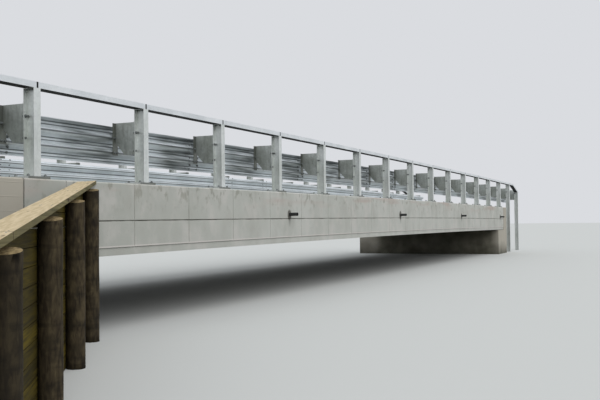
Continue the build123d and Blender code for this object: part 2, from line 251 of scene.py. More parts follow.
def fromKerbTop(tree):  # object place, its parts, and the height over the kerb top line on either side
    place = addNode(tree, "TexCoord", {}).outputs["Object"]
    parts = addNode(tree, "SeparateXYZ", {0: place}).outputs
    square = addNode(tree, "Math", {"operation": "MULTIPLY", 0: parts["X"], 1: parts["X"]})
    height = addNode(tree, "Math", {
        "operation": "MULTIPLY_ADD", 0: square, 1: 1 / (2 * camberRadius), 2: parts["Z"]})
    onBack = addNode(tree, "Math", {"operation": "GREATER_THAN", 0: parts["Y"], 1: 0.0})
    height = addNode(tree, "Math", {
        "operation": "MULTIPLY_ADD", 0: onBack, 1: bridge["backDrop"], 2: height})
    return place, parts, addNode(tree, "Math", {"operation": "SUBTRACT", 0: height, 1: crown})


fasciaConcrete, tree, shader = newMaterial("steelFormedConcrete")
place, parts, height = fromKerbTop(tree)
clouds = addNode(tree, "TexNoise", {"Scale": 1000 / fasciaLook["clouds"], "Detail": 5.0, "Vector": place})
mottle, streaks, scuffs, salts = [
    addNode(tree, "TexNoise", {"Scale": 1.0, "Detail": detail, "Vector": addNode(tree, "Mapping", {
        "Location": (0, 0, shift), "Scale": perMetre(fasciaLook[pattern]), "Vector": place})})
    for pattern, detail, shift in (
        ("mottle", 6.0, 0), ("streak", 3.0, 0), ("scuff", 6.0, 0), ("saltPatch", 3.0, 1.7))]

# Water marks, scuffs and salt fade out below the top; the water marks keep to some of the clouds
streakTop, scuffTop, saltTop = [
    addNode(tree, "MapRange", {"Value": height, "From Min": start, "From Max": end, "To Max": 0.6})
    for start, end in ((-0.36, -0.02), (-0.4, -0.1), (-0.3, -0.1))]
streakPatch = addNode(tree, "MapRange", {
    "Value": clouds, "From Min": 0.5, "From Max": 0.62, "To Max": streakTop})

# Dirt in the upright joints above the band and, darker, in the seam
panelPlace = addNode(tree, "Math", {"operation": "SUBTRACT", 0: parts["X"], 1: bridge["panelShift"]})
panelGap = addNode(tree, "Math", {"operation": "PINGPONG", 0: panelPlace, 1: bridge["panelPitch"] / 2})
aboveBand = addNode(tree, "Math", {"operation": "GREATER_THAN", 0: height, 1: -bridge["bandDrop"]})
aboveBand = addNode(tree, "Math", {"operation": "MULTIPLY", 0: aboveBand, 1: 0.35})
seamGap = addNode(tree, "Math", {"operation": "ADD", 0: height, 1: bridge["seamDrop"]})
seamGap = addNode(tree, "Math", {"operation": "ABSOLUTE", 0: seamGap})
jointShare, seamShare = [
    addNode(tree, "MapRange", {
        "Value": gap, "From Min": fasciaLook["lineFade"][0], "From Max": fasciaLook["lineFade"][1],
        "To Max": most})
    for gap, most in ((panelGap, aboveBand), (seamGap, 0.8))]
lineShare = addNode(tree, "Math", {"operation": "MAXIMUM", 0: jointShare, 1: seamShare})
dirt = addNode(tree, "TexNoise", {"Scale": 1000 / fasciaLook["dirt"], "Detail": 4.0, "Vector": place})
dirt = addNode(tree, "MapRange", {"Value": dirt, "From Min": 0.35, "From Max": 0.6, "To Min": 0.4})
# Painted highlight: a pale line along the arris just above the band
arrisHighlightGap = addNode(tree, "Math", {"operation": "ADD", 0: height, 1: bridge["bandDrop"] - 0.01})
arrisHighlightGap = addNode(tree, "Math", {"operation": "ABSOLUTE", 0: arrisHighlightGap})

# At each drain a ragged dark ring, partly stain and partly painted shade of the opening round the pipe, and
# a drip stain below
drainAlong = addNode(tree, "Math", {"operation": "SUBTRACT", 0: parts["X"], 1: fasciaLook["lastDrain"]})
drainAlong = addNode(tree, "Math", {
    "operation": "PINGPONG", 0: drainAlong, 1: fasciaLook["drainPitch"] / 2})
drainOver = addNode(tree, "Math", {"operation": "ADD", 0: height, 1: fasciaLook["drainDrop"]})
ringAlong, ringOver = [
    addNode(tree, "Math", {"operation": "DIVIDE", 0: offset, 1: reach})
    for offset, reach in zip((drainAlong, drainOver), fasciaLook["drainRing"])]
ring = addNode(tree, "CombineXYZ", {0: ringAlong, 1: ringOver})
ring = addNode(tree, "VectorMath", {"operation": "LENGTH", 0: ring})
ragged = addNode(tree, "Math", {"operation": "MULTIPLY_ADD", 0: scuffs, 1: 1.2, 2: ring})
ringShare = addNode(tree, "MapRange", {"Value": ragged, "From Min": 1.75, "From Max": 1.45, "To Max": 0.85})
belowDrain = addNode(tree, "Math", {"operation": "LESS_THAN", 0: height, 1: -fasciaLook["drainDrop"]})
belowDrain = addNode(tree, "Math", {"operation": "MULTIPLY", 0: belowDrain, 1: 0.5})
dripReach = addNode(tree, "MapRange", {
    "Value": height, "From Min": -0.62, "From Max": -0.48, "To Max": belowDrain})
dripShare = addNode(tree, "MapRange", {
    "Value": drainAlong, "From Min": 0.05, "From Max": 0.02, "To Max": dripReach})
drainShare = addNode(tree, "Math", {"operation": "MAXIMUM", 0: ringShare, 1: dripShare})
onDeck = addNode(tree, "Math", {"operation": "GREATER_THAN", 0: parts["X"], 1: fasciaLook["drainsFrom"]})

bubbles = addNode(tree, "TexVoronoi", {"Scale": 1000 / fasciaLook["bubbles"], "Vector": place})
body = layColours(tree, fasciaLook, hexColour(fasciaLook["firstPanels"]), (
    ("pale", parts["X"], -12.0, -7.0, 1.0),
    ("cloud", clouds, 0.45, 0.68, 0.8),
    ("milky", mottle, 0.48, 0.66, 0.5),
    ("damp", mottle, 0.44, 0.3, 0.3),
    ("stain", streaks, 0.54, 0.7, streakPatch),
    ("stain", scuffs, 0.57, 0.66, scuffTop),
    ("salt", salts, 0.52, 0.66, saltTop),
    ("joint", lineShare, 0.0, 1.0, dirt),
    ("edge", arrisHighlightGap, 0.012, 0.006, 0.75),
    ("joint", drainShare, 0.0, 1.0, onDeck),
    ("stain", bubbles, 0.1, 0.06, 0.5),
))
grain = addNode(tree, "TexNoise", {"Scale": 1000 / fasciaLook["grain"], "Detail": 2.0, "Vector": place})
bump = addNode(tree, "Bump", {"Strength": 0.25, "Distance": 0.001, "Height": grain})
feed(tree, shader, {"Base Color": body, "Roughness": 0.85, "Normal": bump})
dress(fasciaConcrete, "front_kerb", "back_kerb", "front_edge_beam", "back_edge_beam")

# Concrete of the walls and inner beams: marks of the form boards, damp up from the foot, and painted light
# on the ends out from under the deck
wallLook = {
    "pale": "#938F80",
    "cloud": "#716D60",
    "damp": "#3D3D2E",
    "litWallEnds": "#BAB4A7",
    "boardPitch": 0.15,  # metres
    "clouds": 500,
    "grain": 11.11,
}
wallConcrete, tree, shader = newMaterial("boardMarkedConcrete")
place = addNode(tree, "TexCoord", {}).outputs["Object"]
parts = addNode(tree, "SeparateXYZ", {0: place}).outputs
clouds = addNode(tree, "TexNoise", {"Scale": 1000 / wallLook["clouds"], "Detail": 6.0, "Vector": place})
outwards = addNode(tree, "Math", {"operation": "ABSOLUTE", 0: parts["Y"]})
dampEdge = addNode(tree, "Math", {"operation": "MULTIPLY_ADD", 0: clouds, 1: -0.5, 2: parts["Z"]})
# Painted light: the wall ends out from under the deck are lighter than the walls in its shade
body = layColours(tree, wallLook, hexColour(wallLook["pale"]), (
    ("cloud", clouds, 0.35, 0.65, 1.0),
    ("litWallEnds", outwards, 2.25, 2.5, 0.85),
    ("damp", dampEdge, 0.25, -0.25, 0.85),
))
boardGap = addNode(tree, "Math", {"operation": "PINGPONG", 0: parts["Z"], 1: wallLook["boardPitch"] / 2})
boardLine = addNode(tree, "MapRange", {"Value": boardGap, "From Min": 0.006, "From Max": 0.002})
grain = addNode(tree, "TexNoise", {"Scale": 1000 / wallLook["grain"], "Detail": 3.0, "Vector": place})
relief = addNode(tree, "Math", {"operation": "MULTIPLY_ADD", 0: grain, 1: 0.35, 2: boardLine})
bump = addNode(tree, "Bump", {"Strength": 0.5, "Distance": 0.003, "Height": relief})
feed(tree, shader, {"Base Color": body, "Roughness": 0.9, "Normal": bump})
dress(wallConcrete, "left_abutment", "right_abutment", "left_backwall", "right_backwall", "inner_beams")

# Broomed concrete of the road: fine grooves across the road, worn darker in the wheel tracks
roadLook = {
    "pale": "#A6A59F",
    "worn": "#83827D",
    "broom": (12, 666.7, 666.7),  # real broom marks are 3 mm apart; drawn coarser to show
    "wear": 454.5,
    "trackLine": 0.85,  # metres
    "trackFade": (0.42, 0.05),
}
roadConcrete, tree, shader = newMaterial("broomedConcrete")
place = addNode(tree, "TexCoord", {}).outputs["Object"]
parts = addNode(tree, "SeparateXYZ", {0: place}).outputs
trackGap = addNode(tree, "Math", {"operation": "ABSOLUTE", 0: parts["Y"]})
trackGap = addNode(tree, "Math", {"operation": "SUBTRACT", 0: trackGap, 1: roadLook["trackLine"]})
trackGap = addNode(tree, "Math", {"operation": "ABSOLUTE", 0: trackGap})
trackShare = addNode(tree, "MapRange", {
    "interpolation_type": "SMOOTHSTEP", "Value": trackGap, "From Min": roadLook["trackFade"][0],
    "From Max": roadLook["trackFade"][1], "To Max": 0.8})
wear = addNode(tree, "TexNoise", {"Scale": 1000 / roadLook["wear"], "Detail": 5.0, "Vector": place})
wearShare = addNode(tree, "Math", {"operation": "MULTIPLY", 0: trackShare, 1: wear})
wearShare = addNode(tree, "Math", {"operation": "MULTIPLY_ADD", 0: wear, 1: 0.3, 2: wearShare})
body = layColours(tree, roadLook, hexColour(roadLook["pale"]), [("worn", wearShare, 0.0, 1.0, 1.0)])
broomPlace = addNode(tree, "Mapping", {"Scale": perMetre(roadLook["broom"]), "Vector": place})
broom = addNode(tree, "TexNoise", {"Scale": 1.0, "Detail": 2.0, "Vector": broomPlace})
bump = addNode(tree, "Bump", {"Strength": 0.4, "Distance": 0.002, "Height": broom})
feed(tree, shader, {"Base Color": body, "Roughness": 0.9, "Normal": bump})
dress(roadConcrete, "deck_slab")

# Black rubber pads and black polyethylene pipe: matte, a little grey with dust
print("rubber and pipe")
for name, look, roughness, nodes in (
    ("dustyRubber", {"pale": "#1B1B1A", "dust": "#34332F", "size": 71.43}, 0.8,
     ("left_bearing_pads", "right_bearing_pads")),
    ("blackPolyethylene", {"pale": "#141516", "dust": "#2E2F2E", "size": 71.43}, 0.55,
     ("front_drain_pipes", "back_drain_pipes")),
):
    material, tree, shader = newMaterial(name)
    place = addNode(tree, "TexCoord", {}).outputs["Object"]
    dust = addNode(tree, "TexNoise", {"Scale": 1000 / look["size"], "Detail": 4.0, "Vector": place})
    body = layColours(tree, look, hexColour(look["pale"]), [("dust", dust, 0.0, 1.0, 1.0)])
    feed(tree, shader, {"Base Color": body, "Roughness": roughness})
    dress(material, *nodes)

# Hot-dip galvanised steel: zinc crystals of slightly different greys, dulled by weather to a soft
# sheen, with cloudy patches where the zinc cooled at another rate, and painted shade on the undersides
print("galvanised steel")
steelPlaces = {
    "ridgeBend": 0.0185,  # metres up or down from the middle of a ridge
    "aheadStreakStart": 13.4,
    "jointStart": 15.0,
    "lastJoint": 15.5,
}


def blockoutDirtAndShade(tree, parts):  # road dirt thrown up by wheels, thickest beside the rail; on the rail-side flange also painted shade of the bolts
    outwards = addNode(tree, "Math", {"operation": "ABSOLUTE", 0: parts["Y"]})
    onWeb = addNode(tree, "MapRange", {
        "Value": outwards, "From Min": 2.3, "From Max": 1.99, "To Min": 0.15, "To Max": 0.55})
    return [("roadDirtAndShade", onWeb, 0.0, 1.0, 1.0), ("roadDirtAndShade", outwards, 2.02, 2.005, 0.7)]


def railMarks(tree, look, place, parts, height, normal):  # painted shade in the bends and valleys, and darker streaks ahead of each post
    wave = addNode(tree, "Math", {"operation": "SUBTRACT", 0: height, 1: bridge["railCentre"]})
    wave = addNode(tree, "Math", {"operation": "PINGPONG", 0: wave, 1: bridge["wavePitch"] / 2})
    ridgeGap = addNode(tree, "Math", {"operation": "SUBTRACT", 0: wave, 1: steelPlaces["ridgeBend"]})
    ridgeGap = addNode(tree, "Math", {"operation": "ABSOLUTE", 0: ridgeGap})
    ahead = addNode(tree, "Math", {"operation": "ADD", 0: parts["X"], 1: steelPlaces["aheadStreakStart"]})
    ahead = addNode(tree, "Math", {"operation": "PINGPONG", 0: ahead, 1: bridge["postPitch"] / 2})
    outside = addNode(tree, "Math", {"operation": "MULTIPLY", 0: parts["Y"], 1: normal["Y"]})
    outside = addNode(tree, "Math", {"operation": "GREATER_THAN", 0: outside, 1: 0.0})
    outside = addNode(tree, "Math", {"operation": "MULTIPLY", 0: outside, 1: look["aheadStreakShare"]})
    # Darker streaks on the outer face, from 0.3 to 0.65 m ahead of each post
    nearPost = addNode(tree, "MapRange", {
        "Value": ahead, "From Min": 0.65, "From Max": 0.3, "To Max": outside})
    aheadStreakPlace = addNode(tree, "Mapping", {"Scale": perMetre(look["aheadStreakSize"]), "Vector": place})
    aheadStreaks = addNode(tree, "TexNoise", {"Scale": 1.0, "Detail": 6.0, "Vector": aheadStreakPlace})
    # Painted shade along the ridge bends and in the valleys
    return [("bend", ridgeGap, 0.009, 0.004, look["bendShare"]),
            ("bend", wave, 0.084, 0.088, look["bendShare"]),
            ("aheadStreak", aheadStreaks, 0.4, 0.64, nearPost)]


def railGapShade(tree, look, parts):  # painted shade round the gaps between the lengths of top rail, in the under colour
    gap = addNode(tree, "Math", {"operation": "ADD", 0: parts["X"], 1: steelPlaces["jointStart"]})
    gap = addNode(tree, "Math", {"operation": "PINGPONG", 0: gap, 1: bridge["postPitch"] / 2})
    fromMiddle = addNode(tree, "Math", {"operation": "ABSOLUTE", 0: parts["X"]})
    hasJoints = addNode(tree, "Math", {
        "operation": "LESS_THAN", 0: fromMiddle, 1: steelPlaces["lastJoint"]})
    return [("under", gap, look["railGapShadeReach"], 0.011, hasJoints)]


def plateEdgeShade(tree, parts, height):  # painted shade on the base plates, thickest at the outer edge
    overKerb = addNode(tree, "Math", {"operation": "GREATER_THAN", 0: height, 1: -0.01})
    fromMiddle = addNode(tree, "Math", {"operation": "ABSOLUTE", 0: parts["X"]})
    overDeck = addNode(tree, "Math", {
        "operation": "LESS_THAN", 0: fromMiddle, 1: bridge["deckHalfLength"]})
    onKerb = addNode(tree, "Math", {"operation": "MULTIPLY", 0: overKerb, 1: overDeck})
    outwards = addNode(tree, "Math", {"operation": "ABSOLUTE", 0: parts["Y"]})
    outer = addNode(tree, "MapRange", {
        "Value": outwards, "From Min": 2.515, "From Max": 2.53, "To Min": 0.2125, "To Max": 0.85})
    most = addNode(tree, "Math", {"operation": "MULTIPLY", 0: onKerb, 1: outer})
    return [("foot", height, 0.045, 0.026, most)]


def galvanised(name, look):
    material, tree, shader = newMaterial(name)
    place, parts, height = fromKerbTop(tree)
    normal = addNode(tree, "NewGeometry", {}).outputs["True Normal"]
    normal = addNode(tree, "SeparateXYZ", {0: normal}).outputs
    crystals = addNode(tree, "TexVoronoi", {"Scale": 1000 / look["crystal"], "Vector": place})
    crystalShade = addNode(tree, "SeparateColor", {0: crystals.outputs["Color"]})
    patches = addNode(tree, "TexNoise", {"Scale": 1000 / look["patch"], "Detail": 5.0, "Vector": place})
    runPlace = addNode(tree, "Mapping", {"Scale": perMetre(look["run"]), "Vector": place})
    runs = addNode(tree, "TexNoise", {"Scale": 1.0, "Detail": 4.0, "Vector": runPlace})
    layers = [("cloud", patches, 0.4, 0.66, 1.0), ("dark", runs, 0.5, 0.72, look["runShare"]),
              ("dark", crystalShade, 0.0, 1.0, look["crystalShare"])]
    if "roadDirtAndShade" in look:
        layers += blockoutDirtAndShade(tree, parts)
    if "bend" in look:
        layers += railMarks(tree, look, place, parts, height, normal)
    if "railGapShadeReach" in look:
        layers += railGapShade(tree, look, parts)
    if "foot" in look:
        layers += plateEdgeShade(tree, parts, height)
    # Painted shade: faces turned down take the dark under colour
    underShadeShare = addNode(tree, "MapRange", {
        "Value": normal["Z"], "From Min": look["underShadeFrom"], "From Max": -0.97})
    layers.append(("under", underShadeShare, 0.0, 1.0, 1.0))
    zinc = layColours(tree, look, hexColour(look["pale"]), layers)
    if look["metallic"]:
        metal = addNode(tree, "MapRange", {
            "Value": underShadeShare, "To Min": look["metallic"], "To Max": 0.0})
        feed(tree, shader, {"Metallic": metal})
    sheen = addNode(tree, "MapRange", {
        "Value": patches, "From Min": 0.3, "From Max": 0.7,
        "To Min": look["roughness"] - 0.05, "To Max": look["roughness"] + 0.08})
    sheen = addNode(tree, "Math", {"operation": "MULTIPLY_ADD", 0: underShadeShare, 1: 0.5, 2: sheen})
    bump = addNode(tree, "Bump", {"Strength": 0.12, "Distance": 0.001, "Height": crystals})
    feed(tree, shader, {"Base Color": zinc, "Roughness": sheen, "Normal": bump})
    return material


# Weathered posts, with painted shade on the outer edge of the base plates
postZinc = galvanised("dullGalvanisedSection", {
    "pale": "#E6E9E7", "cloud": "#D5D9D4", "dark": "#ABB1AD", "under": "#5B605E", "underShadeFrom": -0.35,
    "metallic": 0.75, "roughness": 0.45, "crystal": 30, "crystalShare": 0.25, "patch": 400,
    "run": (45.45, 45.45, 500), "runShare": 0.4, "foot": "#64665F"})
# Blockouts, darker with road dirt, and painted shade on the rail-side flange
blockoutZinc = galvanised("darkGalvanisedSection", {
    "pale": "#D3D8D4", "cloud": "#B3B8B1", "dark": "#7F837B", "under": "#3F4341", "underShadeFrom": -0.35,
    "metallic": 0.55, "roughness": 0.5, "crystal": 30, "crystalShare": 0.3, "patch": 300,
    "run": (41.67, 41.67, 250), "runShare": 0.5, "roadDirtAndShade": "#5E615A"})
# Corrugated rails, bright, with painted shade in the bends and darker streaks ahead of the posts
railZinc = galvanised("brightGalvanisedSheet", {
    "pale": "#E9EFF2", "cloud": "#D4DBDE", "dark": "#9DA5A8", "under": "#4A5052", "underShadeFrom": -0.85,
    "metallic": 0.45, "roughness": 0.38, "crystal": 30, "crystalShare": 0.15, "patch": 600,
    "run": (1250, 45.45, 45.45), "runShare": 0.3, "bend": "#3F4547", "bendShare": 0.8,
    "aheadStreak": "#4C524F", "aheadStreakShare": 0.8, "aheadStreakSize": (769.2, 111.1, 33.33)})
# Top rails, the cleanest
topRailZinc = galvanised("brightGalvanisedTube", {
    "pale": "#F0F3F4", "cloud": "#DFE3E5", "dark": "#B0B6B8", "under": "#101212", "underShadeFrom": -0.35,
    "metallic": 0.75, "roughness": 0.36, "crystal": 30, "crystalShare": 0.12, "patch": 500,
    "run": (500, 83.33, 83.33), "runShare": 0.2, "railGapShadeReach": 0.016})
# Bolts, nuts and screws
boltZinc = galvanised("galvanisedFastener", {
    "pale": "#8B908F", "cloud": "#6E7372", "dark": "#4A4E4D", "under": "#2A2D2C", "underShadeFrom": -0.35,
    "metallic": 0.3, "roughness": 0.5, "crystal": 10, "crystalShare": 0.3, "patch": 100,
    "run": (50, 50, 50), "runShare": 0.5})
# Sleeves inside the top rail, coloured black as painted shade in the rail gaps
sleeveSteel = galvanised("shadeBlackSleeveSteel", {
    "pale": "#25282A", "cloud": "#1A1C1D", "dark": "#101112", "under": "#101112", "underShadeFrom": -0.35,
    "metallic": 0.0, "roughness": 0.6, "crystal": 20, "crystalShare": 0.3, "patch": 100,
    "run": (50, 50, 50), "runShare": 0.5})
dress(postZinc, "front_barrier_posts", "back_barrier_posts", "front_left_end_posts",
      "front_right_end_posts", "back_left_end_posts", "back_right_end_posts")
dress(blockoutZinc, "front_blockouts", "back_blockouts")
dress(railZinc, "front_thrie_rails", "back_thrie_rails")
dress(topRailZinc, "front_top_rails", "back_top_rails", "front_left_rail_end", "front_right_rail_end",
      "back_left_rail_end", "back_right_rail_end")

# Timber of the wing walls
print("timber")
wing = {
    "start": (-12.079, -2.55),
    "angle": 34.5,
    "capFoot": 1.827,
    "capThickness": 0.043,
    "rake": 0.101,
    "poleSetback": 0.042,
    "poleRadius": 0.091,
    "polePitch": 1.745,
    "bays": 3,
    "overhang": 0.54,
    "boardThickness": 0.05,
    "boardPitch": 0.133,
    "boardGap": 0.004,
    "boardEdge": 0.004,
    "deckClearance": 0.0003,
}
splay = math.radians(wing["angle"])
poleOffDeck = wing["poleRadius"] + wing["deckClearance"] + wing["poleSetback"] * math.cos(splay)
firstRun = poleOffDeck / math.sin(splay)
poleRuns = [firstRun + wing["polePitch"] * number for number in range(wing["bays"] + 1)]
wingEnd = poleRuns[-1] + wing["overhang"]
wingStartAlong = -wing["start"][0] * math.cos(splay) - wing["start"][1] * math.sin(splay)


def alongWing(tree):  # object place turned so that X runs along either wing wall, and the height
    place = addNode(tree, "TexCoord", {}).outputs["Object"]
    parts = addNode(tree, "SeparateXYZ", {0: place}).outputs
    across = addNode(tree, "Math", {"operation": "ABSOLUTE", 0: parts["Y"]})
    folded = addNode(tree, "CombineXYZ", {0: parts["X"], 1: across, 2: parts["Z"]})
    return addNode(tree, "Mapping", {"Rotation": (0, 0, splay), "Vector": folded}), parts["Z"]


def timber(name, look):
    material, tree, shader = newMaterial(name)
    place, height = alongWing(tree)
    along = addNode(tree, "SeparateXYZ", {0: place}).outputs["X"]
    fibrePlace = addNode(tree, "Mapping", {"Scale": perMetre(look["fibre"]), "Vector": place})
    fibres = addNode(tree, "TexNoise", {
        "Scale": 1.0, "Detail": 6.0, "Distortion": 0.6, "Vector": fibrePlace})
    blotchPlace = addNode(tree, "Mapping", {"Scale": perMetre(look["blotch"]), "Vector": place})
    blotches = addNode(tree, "TexNoise", {"Scale": 1.0, "Detail": 4.0, "Vector": blotchPlace})
    layers = [("dark", fibres, 0.34, 0.66, 1.0), ("tint", blotches, 0.42, 0.68, look["blotchShare"])]
    if "boardPitch" in look:  # every board has its own shade
        row = addNode(tree, "Math", {"operation": "DIVIDE", 0: height, 1: look["boardPitch"]})
        row = addNode(tree, "Math", {"operation": "FLOOR", 0: row})
        shade = addNode(tree, "TexWhiteNoise", {"noise_dimensions": "1D", "W": row})
        layers.append(("tint", shade, 0.0, 1.0, 0.55))
    if "whorl" in look:  # rings of branch scars round the pole, and painted shade on the outermost pole
        ringPlace = addNode(tree, "Mapping", {"Scale": perMetre(look["whorl"]), "Vector": place})
        rings = addNode(tree, "TexNoise", {"Scale": 1.0, "Detail": 5.0, "Vector": ringPlace})
        outerPoleShadeStart = -wingStartAlong - poleRuns[-2] - 0.5
        layers += [("tint", rings, 0.54, 0.68, 0.55),
                   ("tint", along, outerPoleShadeStart, -wingStartAlong - poleRuns[-1], 0.5)]
    topPlace = addNode(tree, "Mapping", {"Scale": perMetre(look["topGrain"]), "Vector": place})
    topGrain = addNode(tree, "TexNoise", {"Scale": 1.0, "Detail": 5.0, "Vector": topPlace})
    topLayers = [("topDark", topGrain, 0.36, 0.66, 1.0)]
    if "knot" in look:  # dark branch knots, far apart along the plank
        knotPlace = addNode(tree, "Mapping", {"Scale": perMetre(look["knotSpread"]), "Vector": place})
        knots = addNode(tree, "TexVoronoi", {"Scale": 1.0, "Vector": knotPlace})
        layers.append(("knot", knots, 0.16, 0.09, 1.0))
        topLayers.append(("knot", knots, 0.16, 0.09, 1.0))
    normal = addNode(tree, "NewGeometry", {}).outputs["True Normal"]
    upwards = addNode(tree, "SeparateXYZ", {0: normal}).outputs["Z"]
    wood = addNode(tree, "Mix", {
        "data_type": "RGBA",
        0: addNode(tree, "MapRange", {"Value": upwards, "From Min": 0.6, "From Max": 0.85}),
        6: layColours(tree, look, hexColour(look["pale"]), layers),
        7: layColours(tree, look, hexColour(look["topPale"]), topLayers)})
    if "jointRun" in look:  # dark gap between the planks
        gap = addNode(tree, "Math", {"operation": "ADD", 0: along, 1: look["jointRun"]})
        gap = addNode(tree, "Math", {"operation": "ABSOLUTE", 0: gap})
        wood = layColours(tree, look, wood, [("knot", gap, 0.007, 0.004, 1.0)])
    bump = addNode(tree, "Bump", {"Strength": look["relief"], "Distance": 0.004, "Height": fibres})
    feed(tree, shader, {
        "Base Color": wood, "Roughness": look["roughness"], "Specular IOR Level": look["specular"],
        "Normal": bump})
    return material


# Treated round pine, peeled by machine: dark weathered skin with paler brown stripes, pale cut top
poleTimber = timber("weatheredRoundPine", {
    "pale": "#564C38", "dark": "#322A1F", "tint": "#191611", "roughness": 0.85, "specular": 0.2,
    "fibre": (29.41, 29.41, 111.1), "blotch": (111.1, 111.1, 125), "blotchShare": 0.7,
    "relief": 0.9, "whorl": (400, 400, 83.33),
    "topPale": "#A8946C", "topDark": "#6E5E42", "topGrain": (25, 25, 25)})
# Treated sawn pine boards: olive and yellow, grain along the board, their tops dark as painted shade in the
# gaps
boardTimber = timber("treatedSawnPine", {
    "pale": "#67591A", "dark": "#3A310D", "tint": "#1F1B08", "roughness": 0.8, "specular": 0.15,
    "fibre": (625, 33.33, 26.32), "blotch": (833.3, 200, 166.7), "blotchShare": 0.5,
    "relief": 0.5, "boardPitch": wing["boardPitch"],
    "topPale": "#3F3512", "topDark": "#2A240D", "topGrain": (208.3, 11.11, 8.77)})
# Sawn cap plank: sun-bleached tan top with knots, and a greener edge darkened as painted shade
capTimber = timber("bleachedSawnPlank", {
    "pale": "#8A8058", "dark": "#5F5838", "tint": "#4A452B", "roughness": 0.8, "specular": 0.3,
    "fibre": (1111, 20.83, 20.83), "blotch": (666.7, 166.7, 166.7), "blotchShare": 0.5,
    "relief": 0.5, "knot": "#3E2D1C", "knotSpread": (416.7, 111.1, 111.1),
    "jointRun": wingStartAlong + poleRuns[-1],
    "topPale": "#D2BF9C", "topDark": "#BBA883", "topGrain": (1111, 20.83, 20.83)})
dress(poleTimber, "front_left_wing_poles", "back_left_wing_poles")
dress(boardTimber, "front_left_wing_boards", "back_left_wing_boards")
dress(capTimber, "front_left_wing_cap", "back_left_wing_cap")


def finishPiece(name, shape, material, replaced):  # mesh to a riding piece
    data = bpy.data.meshes.new(name)
    shape.to_mesh(data)
    shape.free()
    data.materials.append(material)
    piece = bpy.data.objects.new(name, data)
    scene.collection.objects.link(piece)
    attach(piece, "root")
    if replaced:
        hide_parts(replaced)


def sliceOff(shape, point, direction):  # cuts away what lies beyond a plane and closes the cut
    everything = list(shape.verts) + list(shape.edges) + list(shape.faces)
    cut = bmesh.ops.bisect_plane(shape, geom=everything, dist=1e-6, plane_co=point, plane_no=direction,
                                 clear_outer=True)
    rims = [part for part in cut["geom_cut"] if isinstance(part, bmesh.types.BMEdge)]
    bmesh.ops.holes_fill(shape, edges=rims, sides=0)


def finishBothSides(name, shape, material, replaced=""):  # the back one mirrored and lower
    twin = shape.copy()
    bmesh.ops.scale(twin, vec=(1, -1, 1), verts=twin.verts)
    bmesh.ops.translate(twin, vec=(0, 0, -bridge["backDrop"]), verts=twin.verts)
    bmesh.ops.recalc_face_normals(twin, faces=twin.faces)
    if min(vert.co.z for vert in twin.verts) < 0:
        sliceOff(twin, (0, 0, 0), (0, 0, -1))
    finishPiece("front_" + name, shape, material, replaced and "front_" + replaced)
    finishPiece("back_" + name, twin, material, replaced and "back_" + replaced)


def mergeInto(whole, part):
    data = bpy.data.meshes.new("part")
    part.to_mesh(data)
    part.free()
    whole.from_mesh(data)
    bpy.data.meshes.remove(data)


def easeLongEdges(shape, made, length, offset):  # of a bar that was just made
    edges = dict.fromkeys(edge for vert in made["verts"] for edge in vert.link_edges)
    longEdges = [edge for edge in edges if edge.calc_length() > length * 0.9]
    bmesh.ops.bevel(shape, geom=longEdges, offset=offset, affect="EDGES", segments=2, profile=0.5,
                    material=-1)


def addBolt(shape, seat, look):  # washer, nut or head, and stud end, on a seat whose Z points outwards
    top = 0
    for part, sides, taper in (("washer", 10, 0.96), ("nut", 6, 0.97), ("stud", 8, 0.9)):
        if look[part]:
            tall = look[part + "Height"]
            bmesh.ops.create_cone(
                shape, cap_ends=True, segments=sides, radius1=look[part], radius2=look[part] * taper,
                depth=tall, matrix=seat @ Matrix.Translation((0, 0, top + tall / 2)))
            top += tall


def addHead(shape, seat, look):  # low button head
    bmesh.ops.create_cone(
        shape, cap_ends=True, segments=10, radius1=look["headRadius"], radius2=look["headRadius"] * 0.55,
        depth=look["headHeight"], matrix=seat @ Matrix.Translation((0, 0, look["headHeight"] / 2)))


towardsRoad = Matrix.Rotation(math.radians(-90), 4, "X")  # turns a seat at the front to face the road
awayFromRoad = Matrix.Rotation(math.radians(90), 4, "X")
upsideDown = Matrix.Rotation(math.pi, 4, "X")

# Anchor nuts on the base plates
print("anchors")
anchor = {
    "plateTop": 0.025, "alongPost": 0.128, "outer": -0.065, "inner": 0.112,
    "washer": 0.024, "washerHeight": 0.004, "nut": 0.0185, "nutHeight": 0.016,
    "stud": 0.01, "studHeight": 0.007,
}
anchors = bmesh.new()
for x in platedStations:
    foot = station(x, bridge["postLine"], anchor["plateTop"])
    for along in (-anchor["alongPost"], anchor["alongPost"]):
        for across in (anchor["outer"], anchor["inner"]):
            addBolt(anchors, foot @ Matrix.Translation((along, across, 0)), anchor)
finishBothSides("anchor_nuts", anchors, boltZinc)

